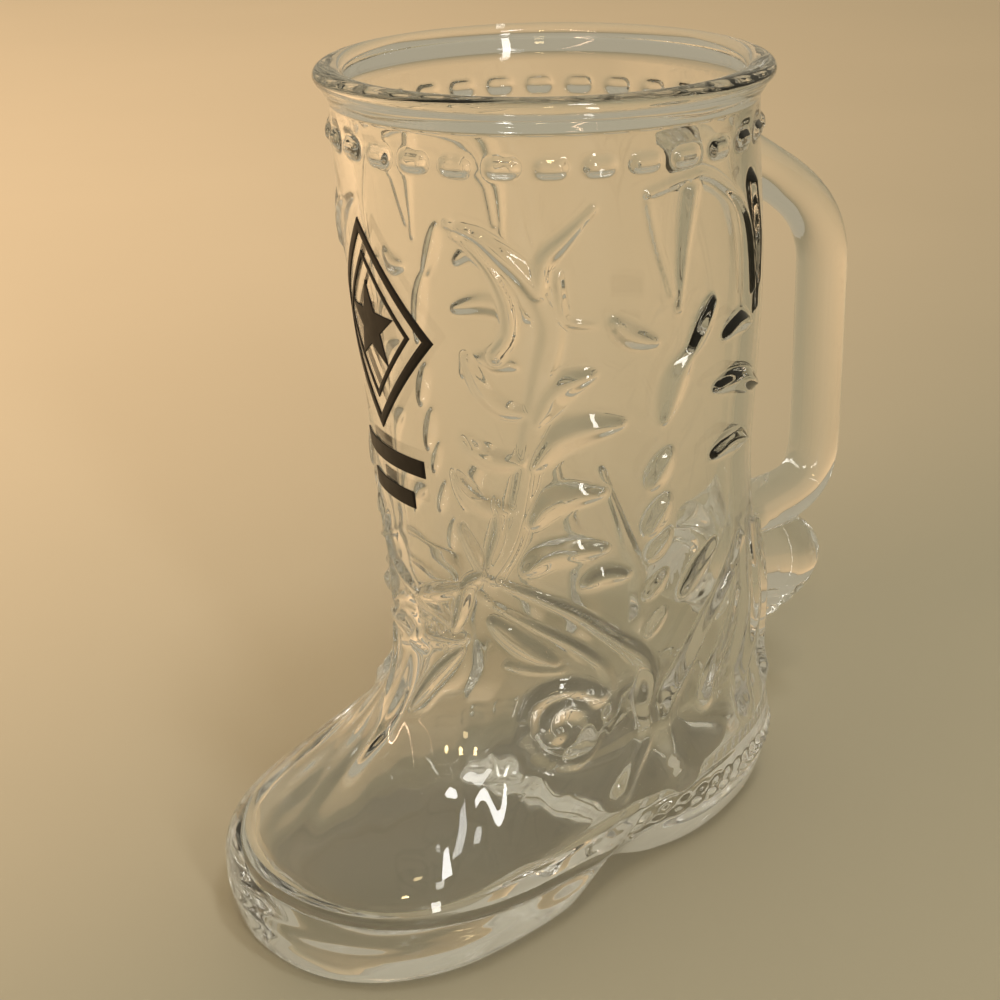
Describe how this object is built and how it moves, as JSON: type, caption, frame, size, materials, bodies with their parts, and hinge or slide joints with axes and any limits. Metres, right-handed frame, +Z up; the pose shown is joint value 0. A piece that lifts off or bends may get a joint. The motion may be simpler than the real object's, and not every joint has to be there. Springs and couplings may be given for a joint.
{
  "type": "boot-shaped glass mug",
  "caption": "Clear glass beer mug moulded as a western boot, with a flared round rim, a thick sole, a bar handle fused to the back and a dark enamel print on the leg.",
  "frame": {"origin": "on the table, under the middle of the overall box", "axes": "+Z up, toe towards -X, handle towards +X, the boot's left side towards -Y"},
  "size_m": [0.1532, 0.079, 0.1498],
  "materials": {
    "glass": "clear, fire-polished, faint green-grey tint",
    "enamel": "fired screen print, satin"
  },
  "bodies": {
    "root": {"boot": "glass", "handle": "glass", "print": "enamel"}
  },
  "joints": []
}
